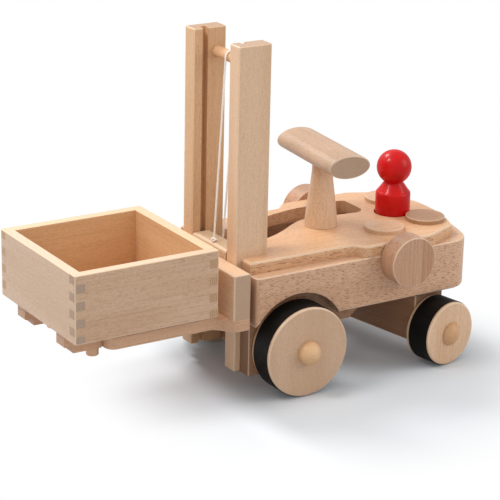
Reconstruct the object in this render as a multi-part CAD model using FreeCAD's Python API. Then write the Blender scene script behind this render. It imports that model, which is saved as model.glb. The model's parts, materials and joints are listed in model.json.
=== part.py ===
"""Wooden toy forklift: every piece as its own solid, in millimetres.

Frame: +Z up, -Y towards the forks, +X towards the vehicle's left.
Origin: on the floor, under the middle of the overall length.
The handle and the rear axle stand a little turned, as the toy is left after play.
"""
import FreeCAD, Part
import math
import os

from FreeCAD import Vector as V

# ---------------------------------------------------------------- driving dimensions
MAST_FRONT = -39.8          # front face of the mast posts, along Y

# mast
POST_IN = 29.0              # inner face of a post, from the centre plane
POST_OUT = 45.0
POST_DEPTH = 32.0
POST_BOTTOM = 17.5
POST_TOP = 307.5
GROOVE_FRONT = 8.4          # groove behind the post's front face
GROOVE_WIDTH = 5.4
GROOVE_DEPTH = 6.0
EDGE_SOFT = 1.5             # sanded edge of a small piece
ROD_SOCKET = 8.0
TOP_ROD = (23.0, 285.8, 5.0)    # rod centre behind the mast front, its height, its radius
GUIDE_ROD = (27.0, 100.0, 4.0)

# body
CHEEK_OUT = 59.0
PANEL_OUT = 70.5
BODY_FRONT = 6.0            # behind the mast front
BODY_REAR = 246.5
BODY_BOTTOM = 64.7
BODY_TOP = 110.5
REAR_ARC_R = 157.0
REAR_CORNER_R = 22.0
FRONT_EDGE_ROUND = 4.5      # upright front edges of the body
TOP_EDGE_ROUND = 1.5
LOW_EDGE_ROUND = 3.0
CHEEK_END = 176.0
CHEEK_LOW_EDGE = ((98.0, 52.8), (111.0, 52.8), (124.0, 64.7))   # behind the axle block
ARCH_R = 49.0
FRONT_BLOCK_END = 78.0
FRONT_BLOCK_TOP = 82.0

# deck
DECK_TOP = 121.4
DECK_NARROW = 58.9
DECK_WIDE = 70.0
DECK_STEP = (105.0, 124.0)  # where the deck widens, behind the mast front
DECK_TAPER_START = 191.0
DECK_CORNER = (55.0, 224.0)
DECK_REAR = 236.4
DECK_CORNER_ROUND = 5.0
DECK_ROUND = 3.0            # upper edge
COLUMN_Y = 117.0
DRIVER_Y = 196.2
DRIVER_R = 16.0
SEAT_DEPTH = 4.0
SEAT_PLAY = 1.0             # radial, round the driver's foot
HEAD_Z = 164.4
HEAD_R = 16.0
NECK_R = 8.5
SHOULDER_Z = 141.0
DISC_R = 17.8
DISC_T = 4.0
DISC_ROUND = 0.8
DISCS = {"front": (38.0, 160.0), "rear_left": (32.5, 209.5), "rear_right": (-32.5, 209.5)}

# handle and the steering link under the deck
BAR_Z = 189.0
BAR_LENGTH = 101.0
BAR_DEPTH = 40.6            # along Y
BAR_HEIGHT = 21.0
BAR_END_ROUND = 1.6
HANDLE_REST = -5.5          # degrees, left end turned forward
BAR_SEAT = 2.5              # how far the column's shoulder reaches up into the bar
TOP_TENON_R = 6.0
TOP_TENON_RISE = 3.0        # above the bar's middle
SHANK_R = 8.0
RAIL_BOTTOM = 78.0
RAIL_T = 14.0
RAIL_HALF_DEPTH = 14.0
ARM_T = 9.6
ARM_REACH = 45.0
ARM_HALF = 8.0
ARM_EYE_R = 12.0            # round the shank
LINK_PIN_R = 3.75
LINK_PIN_FOOT = 51.0
FORK_SLOT_HALF = 4.9        # leaves room for the pin's path at full lock
FORK_SLOT_FLOOR = 1.5       # wood between the slot's end and the bolster
FORK_HALF = 11.0
FORK_REACH = 35.0           # from the steering pivot
FORK_Z = (49.0, 58.0)
FORK_TENON = 6.0
FORK_TIP_ROUND = 3.0

# wheels
WHEEL_T = 27.4
FLANGE_IN = 3.0             # thin wooden rim on the inner side of a tyre
FLANGE_OUT = 2.6
FLANGE_ROUND = 2.0
FLANGE_IN_ROUND = 0.7
FRONT_Y = 49.6
FRONT_R = 41.2              # tyre
FRONT_FACE = 87.0           # outer face of a front wheel
REAR_Y = 186.3
REAR_R = 29.9
REAR_FACE = 89.9            # outer face of a rear wheel, from the steering pivot
TYRE_PROUD = 0.6
TYRE_T = 4.4
TYRE_ROUND = 0.7
AXLE_R = 4.5
AXLE_PROUD = 3.0            # into the cap, past the wheel's face
CAP_R = 10.5
FRONT_CAP = (2.0, 11.3)     # height of the cap's straight part, whole height
REAR_CAP = (1.2, 6.6)
STEER_REST = 10.5           # degrees, left wheel turned back

# rear bolster
BOLSTER_HALF = 61.5
BOLSTER_DEPTH = 36.0
BOLSTER_BOTTOM = 17.2
BOLSTER_TOP = 62.0
BOLSTER_ROUND = 2.0
PIN_R = 5.0
PIN_FOOT_GAP = 3.0          # between the pin and the rear axle
PIN_HEAD_R = 9.0
PIN_HEAD_T = 4.0
PIN_HEAD_SUNK = 2.0
PIN_HEAD_PLAY = 0.3
WASHER_R = 17.0

# winch
WINCH_Y = 156.7
WINCH_Z = 106.0
WINCH_AXLE_R = 4.0
KNOB_R = 23.0
KNOB_IN = 71.0
KNOB_T = 19.5
KNOB_ROUND = 1.5
KNOB_SOCKET = 11.0
CORD_R = 1.0
CORD_FOOT = (3.0, 3.2)      # tied on the slider: left of the centre, behind the mast front
CORD_TOP_X = -5.0
CORD_LOW_X = -15.0          # the rear run leans to the right, down to the guide rod
COIL_X = -28.0              # the cord winds up right of the handle's shank
COIL_TURNS = 6
COIL_STANDOFF = 7.0         # the fixed run ends just short of the coil

# carriage
BOARD_HALF = 70.0
BOARD_T = 16.0
BOARD_TOP = 117.0
BOARD_END_ROUND = 2.5
BOARD_TOP_ROUND = 2.0
PLATE_BOTTOM = 65.0
PLATE_TOP = 76.0
PRONG_OUT = 54.3
PRONG_IN = 18.0
PRONG_TIP = -128.0          # in front of the mast
PRONG_TIP_R = 9.0
FORK_LOW_ROUND = 1.5
SLOT_END = -44.0
FLARE_START = -40.0
FLARE_END = -5.0
SLIDER_TOP = 125.0
SLIDER_BACK = 18.0
SLIDER_ROUND = 4.0
TONGUE_TOP = 117.0
MAST_GAP = 0.3              # board in front of the posts
SLIDE_GAP = 0.2

# load box
BOX_HALF = 69.0
BOX_FRONT = -166.9
BOX_BACK = -30.7
BOX_BOTTOM = 82.2
BOX_TOP = 142.5
BOX_WALL = 9.5
BOX_CORNER = 2.4
BOX_FOOT_ROUND = 2.2
BOX_RIM_ROUND = 0.9
FINGERS = 8                 # per corner
FLOOR_T = 5.0
RUNNER_X = 36.3
RUNNER_HALF = 6.8
RUNNER_FRONT = -164.0
RUNNER_BACK = -34.0
NOSE_BACK = -156.0          # the runner's thinner nose ends here
NOSE_BOTTOM = 71.3
RUNNER_ROUND = 1.0
HOOK_GAP = 0.6
PEG_R = 5.35
PEG_Y = -134.0
PEG_BOTTOM = 57.5
PEG_ROUND = 1.0

BORE_PLAY = 0.06            # radial play of a turning dowel
REST_GAP = 0.1              # between pieces that only lie on one another
OVER = 1.0                  # how far a cutting shape stands out past the face it cuts
FAR = 300.0                 # beyond the whole toy, for a cut that goes right through

PARTS = {}


# ---------------------------------------------------------------- small helpers
def y_at(offset):
    """Y of a place that lies `offset` behind the mast's front face."""
    return MAST_FRONT + offset


def box(x0, x1, y0, y1, z0, z1):
    """A block; its Y limits are offsets behind the mast front."""
    return Part.makeBox(x1 - x0, y1 - y0, z1 - z0, V(x0, y_at(y0), z0))


def rod_x(x0, x1, y, z, r):
    return Part.makeCylinder(r, x1 - x0, V(x0, y_at(y), z), V(1, 0, 0))


def rod_z(x, y, z0, z1, r):
    return Part.makeCylinder(r, z1 - z0, V(x, y_at(y), z0), V(0, 0, 1))


def rounded(shape, radius, pick):
    """Fillets the edges that pick(edge) accepts."""
    edges = [e for e in shape.Edges if pick(e)]
    return shape.makeFillet(radius, edges) if edges else shape


def mirror(shape):
    return shape.mirror(V(0, 0, 0), V(1, 0, 0))


def along(edge, axis):
    """True for a straight edge that runs along one axis."""
    if edge.Curve.TypeId != "Part::GeomLine":
        return False
    d = edge.Vertexes[-1].Point - edge.Vertexes[0].Point
    return abs(abs(d[axis]) - d.Length) < 1e-6


def at_height(edge, z):
    b = edge.BoundBox
    return abs(b.ZMin - z) < 1e-6 and abs(b.ZMax - z) < 1e-6


def extrude_plan(wire, z0, z1):
    face = Part.Face(wire)
    face.translate(V(0, 0, z0))
    return face.extrude(V(0, 0, z1 - z0))


def line(a, b):
    return Part.LineSegment(V(*a), V(*b)).toShape()


def arc(a, m, b):
    return Part.Arc(V(*a), V(*m), V(*b)).toShape()


def save(name, shape):
    """Writes one node; a list of solids is saved as one group."""
    if isinstance(shape, list):
        shape = Part.makeCompound(shape)
    shape = shape.removeSplitter() if len(shape.Solids) == 1 else shape
    assert shape.isValid() and shape.Solids, name
    if len(shape.Solids) == 1:
        shape = shape.Solids[0]
    PARTS[name] = shape


def save_pair(stem, left):
    """Saves a piece and its mirror image across the centre plane."""
    save(stem + "_left", left)
    save(stem + "_right", mirror(left))


# ---------------------------------------------------------------- mast
def mast_post():
    post = box(POST_IN, POST_OUT, 0, POST_DEPTH, POST_BOTTOM, POST_TOP)
    post = rounded(post, EDGE_SOFT, lambda e: along(e, 2) or at_height(e, POST_TOP)
                   or at_height(e, POST_BOTTOM))
    groove = box(POST_IN - OVER, POST_IN + GROOVE_DEPTH, GROOVE_FRONT,
                 GROOVE_FRONT + GROOVE_WIDTH, POST_BOTTOM - OVER, POST_TOP + OVER)
    post = post.cut(groove)
    for y, z, radius in (TOP_ROD, GUIDE_ROD):
        post = post.cut(rod_x(0, POST_IN + ROD_SOCKET, y, z, radius))
    return post


def mast_rod(y, z, radius):
    reach = POST_IN + ROD_SOCKET
    return rod_x(-reach, reach, y, z, radius)


# ---------------------------------------------------------------- body
def rear_rounded_block(half, y0, y_rear, radius, corner):
    """The body's outer block: straight front and sides, a rear arc and round corners."""
    sag = radius - math.sqrt(radius ** 2 - half ** 2)
    y_edge = y_rear - sag
    pts = [(half, y_at(y0), 0), (half, y_at(y_edge), 0), (0, y_at(y_rear), 0),
           (-half, y_at(y_edge), 0), (-half, y_at(y0), 0)]
    wire = Part.Wire([line(pts[0], pts[1]), arc(pts[1], pts[2], pts[3]),
                      line(pts[3], pts[4]), line(pts[4], pts[0])])
    solid = extrude_plan(wire, BODY_BOTTOM, BODY_TOP)
    return rounded(solid, corner,
                   lambda e: along(e, 2) and e.CenterOfMass.y > y_at((y0 + y_rear) / 2))


def body_envelope():
    """Outer shape of the body above the wheels, before it is split into pieces."""
    body = rear_rounded_block(PANEL_OUT, BODY_FRONT, BODY_REAR, REAR_ARC_R, REAR_CORNER_R)
    body = rounded(body, FRONT_EDGE_ROUND,
                   lambda e: along(e, 2) and e.CenterOfMass.y < y_at(BODY_FRONT + OVER))
    body = rounded(body, TOP_EDGE_ROUND, lambda e: at_height(e, BODY_TOP))
    return rounded(body, LOW_EDGE_ROUND, lambda e: at_height(e, BODY_BOTTOM))


def slab(x0, x1):
    """A slice of space between two X planes, for splitting the body."""
    return box(x0, x1, -FAR, FAR, 0, FAR)


def side_panel(body):
    """Outer board of the body, with an arch over the front wheel."""
    panel = body.common(slab(CHEEK_OUT, FAR))
    panel = panel.cut(rod_x(0, FAR, FRONT_Y, FRONT_R, ARCH_R))
    return panel.cut(rod_x(0, FAR, WINCH_Y, WINCH_Z, WINCH_AXLE_R + BORE_PLAY))


def cheek():
    """Inner side plate: carries the front axle, and its tail rises behind the wheel."""
    outline = [(BODY_FRONT, POST_BOTTOM), (FRONT_BLOCK_END, POST_BOTTOM), *CHEEK_LOW_EDGE,
               (CHEEK_END, BODY_BOTTOM), (CHEEK_END, BODY_TOP), (BODY_FRONT, BODY_TOP)]
    pts = [V(POST_OUT, y_at(y), z) for y, z in outline]
    face = Part.Face(Part.makePolygon(pts + [pts[0]]))
    plate = face.extrude(V(CHEEK_OUT - POST_OUT, 0, 0))
    plate = rounded(plate, LOW_EDGE_ROUND, lambda e: along(e, 0)
                    and e.CenterOfMass.z < BODY_BOTTOM - OVER and e.CenterOfMass.y > y_at(FRONT_Y))
    plate = rounded(plate, EDGE_SOFT, lambda e: along(e, 2) and e.CenterOfMass.x > POST_OUT + OVER
                    and e.CenterOfMass.y < y_at(BODY_FRONT + OVER))
    plate = plate.cut(rod_x(0, FAR, FRONT_Y, FRONT_R, AXLE_R + BORE_PLAY))
    return plate.cut(rod_x(0, FAR, WINCH_Y, WINCH_Z, WINCH_AXLE_R + BORE_PLAY))


def front_block():
    """Cross block behind the posts, with the bore of the front axle."""
    block = box(-POST_OUT, POST_OUT, POST_DEPTH, FRONT_BLOCK_END, POST_BOTTOM, FRONT_BLOCK_TOP)
    return block.cut(rod_x(-FAR, FAR, FRONT_Y, FRONT_R, AXLE_R + BORE_PLAY))


def column_rail():
    """Cross rail under the deck: lower bearing of the handle's shank."""
    y0, y1 = COLUMN_Y - RAIL_HALF_DEPTH, COLUMN_Y + RAIL_HALF_DEPTH
    rail = box(-POST_OUT, POST_OUT, y0, y1, RAIL_BOTTOM, RAIL_BOTTOM + RAIL_T)
    return rail.cut(rod_z(0, COLUMN_Y, 0, FAR, SHANK_R + BORE_PLAY))


def rear_block(body):
    """Cross block at the back, with the steering pivot's bore."""
    block = body.common(slab(-CHEEK_OUT, CHEEK_OUT))
    block = block.cut(box(-FAR, FAR, -FAR, CHEEK_END, 0, FAR))
    block = block.cut(rod_z(0, REAR_Y, 0, FAR, PIN_R + BORE_PLAY))
    head_seat = BODY_TOP - PIN_HEAD_T - PIN_HEAD_SUNK
    return block.cut(rod_z(0, REAR_Y, head_seat, FAR, PIN_HEAD_R + PIN_HEAD_PLAY))


# ---------------------------------------------------------------- deck
def deck_outline():
    y0, y1 = DECK_STEP
    ym = (y0 + y1) / 2
    xm = (DECK_NARROW + DECK_WIDE) / 2
    step_r = ((DECK_WIDE - DECK_NARROW) ** 2 + (y1 - y0) ** 2) / (4 * (DECK_WIDE - DECK_NARROW))
    turn = math.asin((y1 - y0) / 2 / step_r) / 2
    dx, dy = step_r * (1 - math.cos(turn)), step_r * math.sin(turn)
    cx, cy = DECK_CORNER

    def side(s):
        """One side's edges from front to rear; s is +1 or -1."""
        p = [(s * POST_OUT, POST_DEPTH), (s * POST_OUT, BODY_FRONT),
             (s * DECK_NARROW, BODY_FRONT), (s * DECK_NARROW, y0)]
        edges = [line(flat(a), flat(b)) for a, b in zip(p, p[1:])]
        edges.append(arc(flat((s * DECK_NARROW, y0)), flat((s * (DECK_NARROW + dx), y0 + dy)),
                         flat((s * xm, ym))))
        edges.append(arc(flat((s * xm, ym)), flat((s * (DECK_WIDE - dx), y1 - dy)),
                         flat((s * DECK_WIDE, y1))))
        edges.append(line(flat((s * DECK_WIDE, y1)), flat((s * DECK_WIDE, DECK_TAPER_START))))
        edges.append(line(flat((s * DECK_WIDE, DECK_TAPER_START)), flat((s * cx, cy))))
        return edges

    def flat(p):
        return (p[0], y_at(p[1]), 0)

    rear = arc(flat((cx, cy)), flat((0, DECK_REAR)), flat((-cx, cy)))
    front = line(flat((-POST_OUT, POST_DEPTH)), flat((POST_OUT, POST_DEPTH)))
    edges = side(1) + [rear] + side(-1) + [front]
    return Part.Wire(Part.__sortEdges__(edges))


def deck_opening():
    """The opening that runs from between the posts back over the winch, right of the column."""
    near = [(13, POST_DEPTH - 2), (12, 44), (8, 58), (-5.5, 84), (-16.5, 102), (-20, 113)]
    far = [(-50, 122), (-45.5, 98), (-38, 72), (-31, 48), (-29, POST_DEPTH - 2)]
    place = [V(x, y_at(y), 0) for x, y in near]
    near_curve = Part.BSplineCurve()
    near_curve.interpolate(place)
    place_far = [V(x, y_at(y), 0) for x, y in far]
    far_curve = Part.BSplineCurve()
    far_curve.interpolate(place_far)
    back_near = V(-13.4, y_at(165), 0)
    back_mid = V(-16.0, y_at(172.5), 0)
    back_far = V(-23, y_at(175.5), 0)
    corner = V(-50, y_at(175.5), 0)
    edges = [near_curve.toShape(), line(place[-1], back_near), arc(back_near, back_mid, back_far),
             line(back_far, corner), line(corner, place_far[0]), far_curve.toShape(),
             line(place_far[-1], place[0])]
    hole = extrude_plan(Part.Wire(edges), BODY_TOP - OVER, DECK_TOP + OVER)
    return rounded(hole, DECK_CORNER_ROUND, lambda e: along(e, 2)
                   and (V(e.CenterOfMass.x, e.CenterOfMass.y, 0) - corner).Length < OVER)


def deck_plate():
    deck = extrude_plan(deck_outline(), BODY_TOP, DECK_TOP)

    def outer_corner(e):
        c = e.CenterOfMass
        return along(e, 2) and c.y > y_at(DECK_TAPER_START - OVER)

    def upper_edge(e):
        """An upper edge, but for those that lie against the posts and between them."""
        c = e.CenterOfMass
        at_posts = abs(c.x) < POST_OUT + OVER and c.y < y_at(POST_DEPTH + OVER)
        return at_height(e, DECK_TOP) and not at_posts

    deck = rounded(deck, DECK_CORNER_ROUND, outer_corner)
    deck = rounded(deck, DECK_ROUND, upper_edge)
    deck = deck.cut(deck_opening())
    deck = deck.cut(rod_z(0, COLUMN_Y, 0, FAR, SHANK_R + BORE_PLAY))
    return deck.cut(rod_z(0, DRIVER_Y, DECK_TOP - SEAT_DEPTH, FAR, DRIVER_R + SEAT_PLAY))


def deck_disc(place):
    disc = rod_z(place[0], place[1], DECK_TOP, DECK_TOP + DISC_T, DISC_R)
    return rounded(disc, DISC_ROUND, lambda e: at_height(e, DECK_TOP + DISC_T))


# ---------------------------------------------------------------- handle and driver
def turned(profile, y):
    """A lathe-turned piece about a vertical axis; profile is (radius, height) points."""
    pts = [V(r, 0, z) for r, z in profile]
    curve = Part.BSplineCurve()
    curve.interpolate(pts)
    bottom = V(0, 0, profile[0][1])
    top = V(0, 0, profile[-1][1])
    wire = Part.Wire([curve.toShape(), line(pts[-1], top), line(top, bottom), line(bottom, pts[0])])
    solid = Part.Face(wire).revolve(V(0, 0, 0), V(0, 0, 1), 360)
    solid.translate(V(0, y_at(y), 0))
    return solid


def turned_with_handle(shape):
    shape = shape.copy()
    shape.rotate(V(0, y_at(COLUMN_Y), 0), V(0, 0, 1), HANDLE_REST)
    return shape


def handle_column():
    """Turned column: a flared foot on the deck and a shank that goes down to the steering arm."""
    seat = BAR_Z - BAR_HEIGHT / 2 + BAR_SEAT
    foot = DECK_TOP + 2 * REST_GAP
    flare = [(15.0, foot), (14.4, foot + 8), (11.9, foot + 29), (10.1, foot + 42), (9.2, seat)]
    column = turned(flare, COLUMN_Y)
    shank = rod_z(0, COLUMN_Y, RAIL_BOTTOM - 2 * REST_GAP - ARM_T, foot + OVER, SHANK_R)
    tenon = rod_z(0, COLUMN_Y, seat - OVER, BAR_Z + TOP_TENON_RISE, TOP_TENON_R)
    return column.fuse([shank, tenon])


def handlebar(column):
    half = BAR_LENGTH / 2
    oval = Part.Ellipse(V(0, 0, 0), BAR_DEPTH / 2, BAR_HEIGHT / 2).toShape()
    bar = Part.Face(Part.Wire(oval)).extrude(V(0, 0, BAR_LENGTH))
    bar = rounded(bar, BAR_END_ROUND, lambda e: e.Curve.TypeId == "Part::GeomEllipse")
    turn = FreeCAD.Rotation(V(0, 1, 0), V(0, 0, 1), V(1, 0, 0), "ZXY")
    bar.Placement = FreeCAD.Placement(V(-half, y_at(COLUMN_Y), BAR_Z), turn)
    return bar.cut(column)


def steering_arm():
    """Flat arm on the shank's lower end; its pin steers the rear bolster."""
    top = RAIL_BOTTOM - 2 * REST_GAP
    tip = COLUMN_Y + ARM_REACH
    arm = box(-ARM_HALF, ARM_HALF, COLUMN_Y, tip, top - ARM_T, top)
    arm = arm.fuse([rod_z(0, COLUMN_Y, top - ARM_T, top, ARM_EYE_R),
                    rod_z(0, tip, top - ARM_T, top, ARM_HALF)])
    return arm.cut(rod_z(0, COLUMN_Y, 0, FAR, SHANK_R)).cut(rod_z(0, tip, 0, FAR, LINK_PIN_R))


def steering_link_pin():
    return rod_z(0, COLUMN_Y + ARM_REACH, LINK_PIN_FOOT, RAIL_BOTTOM - 2 * REST_GAP, LINK_PIN_R)


def driver_figure():
    """Peg figure with a plain ball head and no face."""
    base = DECK_TOP - SEAT_DEPTH + REST_GAP
    r = DRIVER_R
    foot_in, foot_out = (r - 1, 0, base), (r, 0, base + 1)
    side_top = (r, 0, SHOULDER_Z - 1.5)
    shoulder = (r - 1.4, 0, SHOULDER_Z + 1.2)
    neck = (NECK_R, 0, HEAD_Z - math.sqrt(HEAD_R ** 2 - NECK_R ** 2))
    crown = (0, 0, HEAD_Z + HEAD_R)
    edges = [line((0, 0, base), foot_in), line(foot_in, foot_out), line(foot_out, side_top),
             arc(side_top, (r - 0.4, 0, SHOULDER_Z), shoulder),
             arc(shoulder, (NECK_R + 2.6, 0, SHOULDER_Z + 6.0), neck),
             arc(neck, (HEAD_R, 0, HEAD_Z), crown), line(crown, (0, 0, base))]
    solid = Part.Face(Part.Wire(edges)).revolve(V(0, 0, 0), V(0, 0, 1), 360)
    solid.translate(V(0, y_at(DRIVER_Y), 0))
    return solid


# ---------------------------------------------------------------- wheels, built along +X from a pivot
def tube_x(radius, bore, x0, x1):
    """A ring about the X axis."""
    ring = Part.makeCylinder(radius, x1 - x0, V(x0, 0, 0), V(1, 0, 0))
    return ring.cut(Part.makeCylinder(bore, x1 - x0, V(x0, 0, 0), V(1, 0, 0)))


def at_x(edge, x):
    b = edge.BoundBox
    return abs(b.XMin - x) < 1e-6 and abs(b.XMax - x) < 1e-6


def wheel_disc(radius, face_x):
    """Wooden disc with a wide groove for the tyre."""
    inner = face_x - WHEEL_T
    disc = Part.makeCylinder(radius - TYRE_PROUD, WHEEL_T, V(inner, 0, 0), V(1, 0, 0))
    disc = rounded(disc, FLANGE_ROUND, lambda e: at_x(e, face_x))
    disc = rounded(disc, FLANGE_IN_ROUND, lambda e: at_x(e, inner))
    disc = disc.cut(tube_x(radius + OVER, radius - TYRE_T, inner + FLANGE_IN, face_x - FLANGE_OUT))
    return disc.cut(Part.makeCylinder(AXLE_R, FAR, V(0, 0, 0), V(1, 0, 0)))


def tyre(radius, face_x):
    """Flat rubber band with slightly rounded shoulders."""
    x0, x1 = face_x - WHEEL_T + FLANGE_IN, face_x - FLANGE_OUT
    band = tube_x(radius, radius - TYRE_T, x0, x1)
    inner_length = 2 * math.pi * (radius - TYRE_T)
    return rounded(band, TYRE_ROUND, lambda e: e.Closed and e.Length > inner_length + OVER)


def hub_cap(face_x, skirt, height):
    """Domed button over the axle's end, standing on the wheel's outer face."""
    rise = height - skirt
    dome_r = (CAP_R ** 2 + rise ** 2) / (2 * rise)
    mid_r = CAP_R * 0.6
    shoulder = (face_x + skirt, CAP_R, 0)
    mid = (face_x + height - dome_r + math.sqrt(dome_r ** 2 - mid_r ** 2), mid_r, 0)
    top = (face_x + height, 0, 0)
    foot, centre = (face_x, CAP_R, 0), (face_x, 0, 0)
    edges = [line(centre, foot), line(foot, shoulder), arc(shoulder, mid, top), line(top, centre)]
    cap = Part.Face(Part.Wire(edges)).revolve(V(0, 0, 0), V(1, 0, 0), 360)
    return cap.cut(Part.makeCylinder(AXLE_R, AXLE_PROUD, V(face_x, 0, 0), V(1, 0, 0)))


def axle(face_x):
    reach = face_x + AXLE_PROUD
    return Part.makeCylinder(AXLE_R, 2 * reach, V(-reach, 0, 0), V(1, 0, 0))


def set_on_axle(shape, y, z, turn=0.0):
    """Moves a piece built about the X axis to its axle, turned about the pivot's vertical."""
    shape = shape.copy()
    shape.rotate(V(0, 0, 0), V(0, 0, 1), turn)
    shape.translate(V(0, y_at(y), z))
    return shape


def wheelset(stem, radius, face_x, y, cap, turn):
    """Two wheels with tyres and caps on one axle."""
    pieces = {"wheel": wheel_disc(radius, face_x), "tyre": tyre(radius, face_x),
              "hub_cap": hub_cap(face_x, *cap)}
    for kind, left in pieces.items():
        save(stem + "_" + kind + "_left", set_on_axle(left, y, radius, turn))
        save(stem + "_" + kind + "_right", set_on_axle(mirror(left), y, radius, turn))
    save(stem + "_axle", set_on_axle(axle(face_x), y, radius, turn))


# ---------------------------------------------------------------- steering bolster
def pin_foot():
    """Lower end of the pivot pin, just above the rear axle."""
    return REAR_R + AXLE_R + PIN_FOOT_GAP


def fork_blank():
    """Steering fork about the pivot, its tenon reaching into the bolster's front."""
    front = -FORK_REACH
    back = -BOLSTER_DEPTH / 2 + FORK_TENON
    z0, z1 = FORK_Z
    return Part.makeBox(2 * FORK_HALF, back - front, z1 - z0, V(-FORK_HALF, front, z0 - REAR_R))


def steering_fork():
    """Plate let into the bolster's front, with an open slot for the link pin."""
    plate = rounded(fork_blank(), FORK_TIP_ROUND,
                    lambda e: along(e, 2) and e.CenterOfMass.y < -FORK_REACH + OVER)
    depth = FORK_REACH - BOLSTER_DEPTH / 2 - FORK_SLOT_FLOOR
    slot = Part.makeBox(2 * FORK_SLOT_HALF, depth + OVER, FAR,
                        V(-FORK_SLOT_HALF, -FORK_REACH - OVER, 0))
    return set_on_axle(plate.cut(slot), REAR_Y, REAR_R, STEER_REST)


def rear_bolster():
    """Beam that carries the rear axle and turns about the pivot pin."""
    half = BOLSTER_DEPTH / 2
    beam = Part.makeBox(2 * BOLSTER_HALF, BOLSTER_DEPTH, BOLSTER_TOP - BOLSTER_BOTTOM,
                        V(-BOLSTER_HALF, -half, BOLSTER_BOTTOM - REAR_R))
    beam = rounded(beam, BOLSTER_ROUND, lambda e: along(e, 0) or along(e, 2))
    beam = beam.cut(Part.makeCylinder(AXLE_R + BORE_PLAY, 2 * FAR, V(-FAR, 0, 0), V(1, 0, 0)))
    beam = beam.cut(Part.makeCylinder(PIN_R, FAR, V(0, 0, pin_foot() - REAR_R), V(0, 0, 1)))
    return set_on_axle(beam.cut(fork_blank()), REAR_Y, REAR_R, STEER_REST)


def pivot_pin():
    """Dowel with a head: fixed in the bolster, turning in the body's rear block."""
    head = BODY_TOP - PIN_HEAD_T - PIN_HEAD_SUNK + REST_GAP
    pin = rod_z(0, REAR_Y, pin_foot(), head + OVER, PIN_R)
    return pin.fuse(rod_z(0, REAR_Y, head, head + PIN_HEAD_T, PIN_HEAD_R))


def pivot_washer():
    ring = rod_z(0, REAR_Y, BOLSTER_TOP, BODY_BOTTOM - REST_GAP, WASHER_R)
    return ring.cut(rod_z(0, REAR_Y, 0, FAR, PIN_R))


# ---------------------------------------------------------------- winch and cord
def winch_knob():
    knob = rod_x(KNOB_IN, KNOB_IN + KNOB_T, WINCH_Y, WINCH_Z, KNOB_R)
    knob = rounded(knob, KNOB_ROUND, lambda e: e.Curve.TypeId == "Part::GeomCircle")
    return knob.cut(rod_x(0, KNOB_IN + KNOB_SOCKET, WINCH_Y, WINCH_Z, WINCH_AXLE_R))


def winch_axle():
    reach = KNOB_IN + KNOB_SOCKET
    return rod_x(-reach, reach, WINCH_Y, WINCH_Z, WINCH_AXLE_R)


def cord_coil():
    """The cord's turns on the winch axle."""
    half = COIL_TURNS * CORD_R
    coil = rod_x(COIL_X - half, COIL_X + half, WINCH_Y, WINCH_Z, WINCH_AXLE_R + 2 * CORD_R)
    return coil.cut(rod_x(-FAR, FAR, WINCH_Y, WINCH_Z, WINCH_AXLE_R))


def beside_rod(rod, across, up, x):
    """Middle of the cord where it lies on a rod; `across` and `up` are -1, 0 or 1, or between."""
    y, z, radius = rod
    wrap = radius + CORD_R
    return V(x, y_at(y + across * wrap), z + up * wrap)


def cord_over_mast():
    """Cord over the top rod, down behind the slider, under the guide rod and back to the winch."""
    half_turn = math.sqrt(0.5)
    front = beside_rod(TOP_ROD, -1, 0, CORD_TOP_X)
    crest = beside_rod(TOP_ROD, 0, 1, CORD_TOP_X)
    behind = beside_rod(TOP_ROD, 1, 0, CORD_TOP_X)
    low = beside_rod(GUIDE_ROD, -1, 0, CORD_LOW_X)
    corner = beside_rod(GUIDE_ROD, -half_turn, -half_turn, CORD_LOW_X)
    under = beside_rod(GUIDE_ROD, 0, -1, CORD_LOW_X)
    path = Part.Wire([Part.Arc(front, crest, behind).toShape(),
                      Part.LineSegment(behind, low).toShape(),
                      Part.Arc(low, corner, under).toShape()])
    section = Part.Wire(Part.makeCircle(CORD_R, front, V(0, 0, 1)))
    over = path.makePipeShell([section], True, True)
    drum = V(COIL_X, y_at(WINCH_Y), WINCH_Z - WINCH_AXLE_R - CORD_R)
    span = drum - under
    to_winch = Part.makeCylinder(CORD_R, span.Length - COIL_STANDOFF, under, span)
    return over.fuse([to_winch, Part.makeSphere(CORD_R, under)])


def cord_lift_run():
    """The front run of the cord: its lower end follows the carriage."""
    foot_x, foot_y = CORD_FOOT
    top = beside_rod(TOP_ROD, -1, 0, CORD_TOP_X) - V(0, 0, REST_GAP)
    run = V(foot_x, y_at(foot_y), SLIDER_TOP + REST_GAP) - top
    return Part.makeCylinder(CORD_R, run.Length, top, run)


# ---------------------------------------------------------------- carriage
def carriage_board():
    board = box(-BOARD_HALF, BOARD_HALF, -MAST_GAP - BOARD_T, -MAST_GAP, PLATE_TOP, BOARD_TOP)
    board = rounded(board, BOARD_END_ROUND,
                    lambda e: along(e, 2) and e.CenterOfMass.y < y_at(-BOARD_T / 2))
    return rounded(board, BOARD_TOP_ROUND, lambda e: at_height(e, BOARD_TOP))


def carriage_slider():
    """Block between the posts, with a tongue in each groove."""
    side = POST_IN - SLIDE_GAP
    block = box(-side, side, -MAST_GAP, SLIDER_BACK, PLATE_TOP, SLIDER_TOP)
    block = rounded(block, SLIDER_ROUND, lambda e: at_height(e, SLIDER_TOP))
    tongue_out = POST_IN + GROOVE_DEPTH - SLIDE_GAP
    tongue = box(-tongue_out, tongue_out, GROOVE_FRONT + SLIDE_GAP,
                 GROOVE_FRONT + GROOVE_WIDTH - SLIDE_GAP, PLATE_TOP, TONGUE_TOP)
    return block.fuse(tongue)


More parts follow.
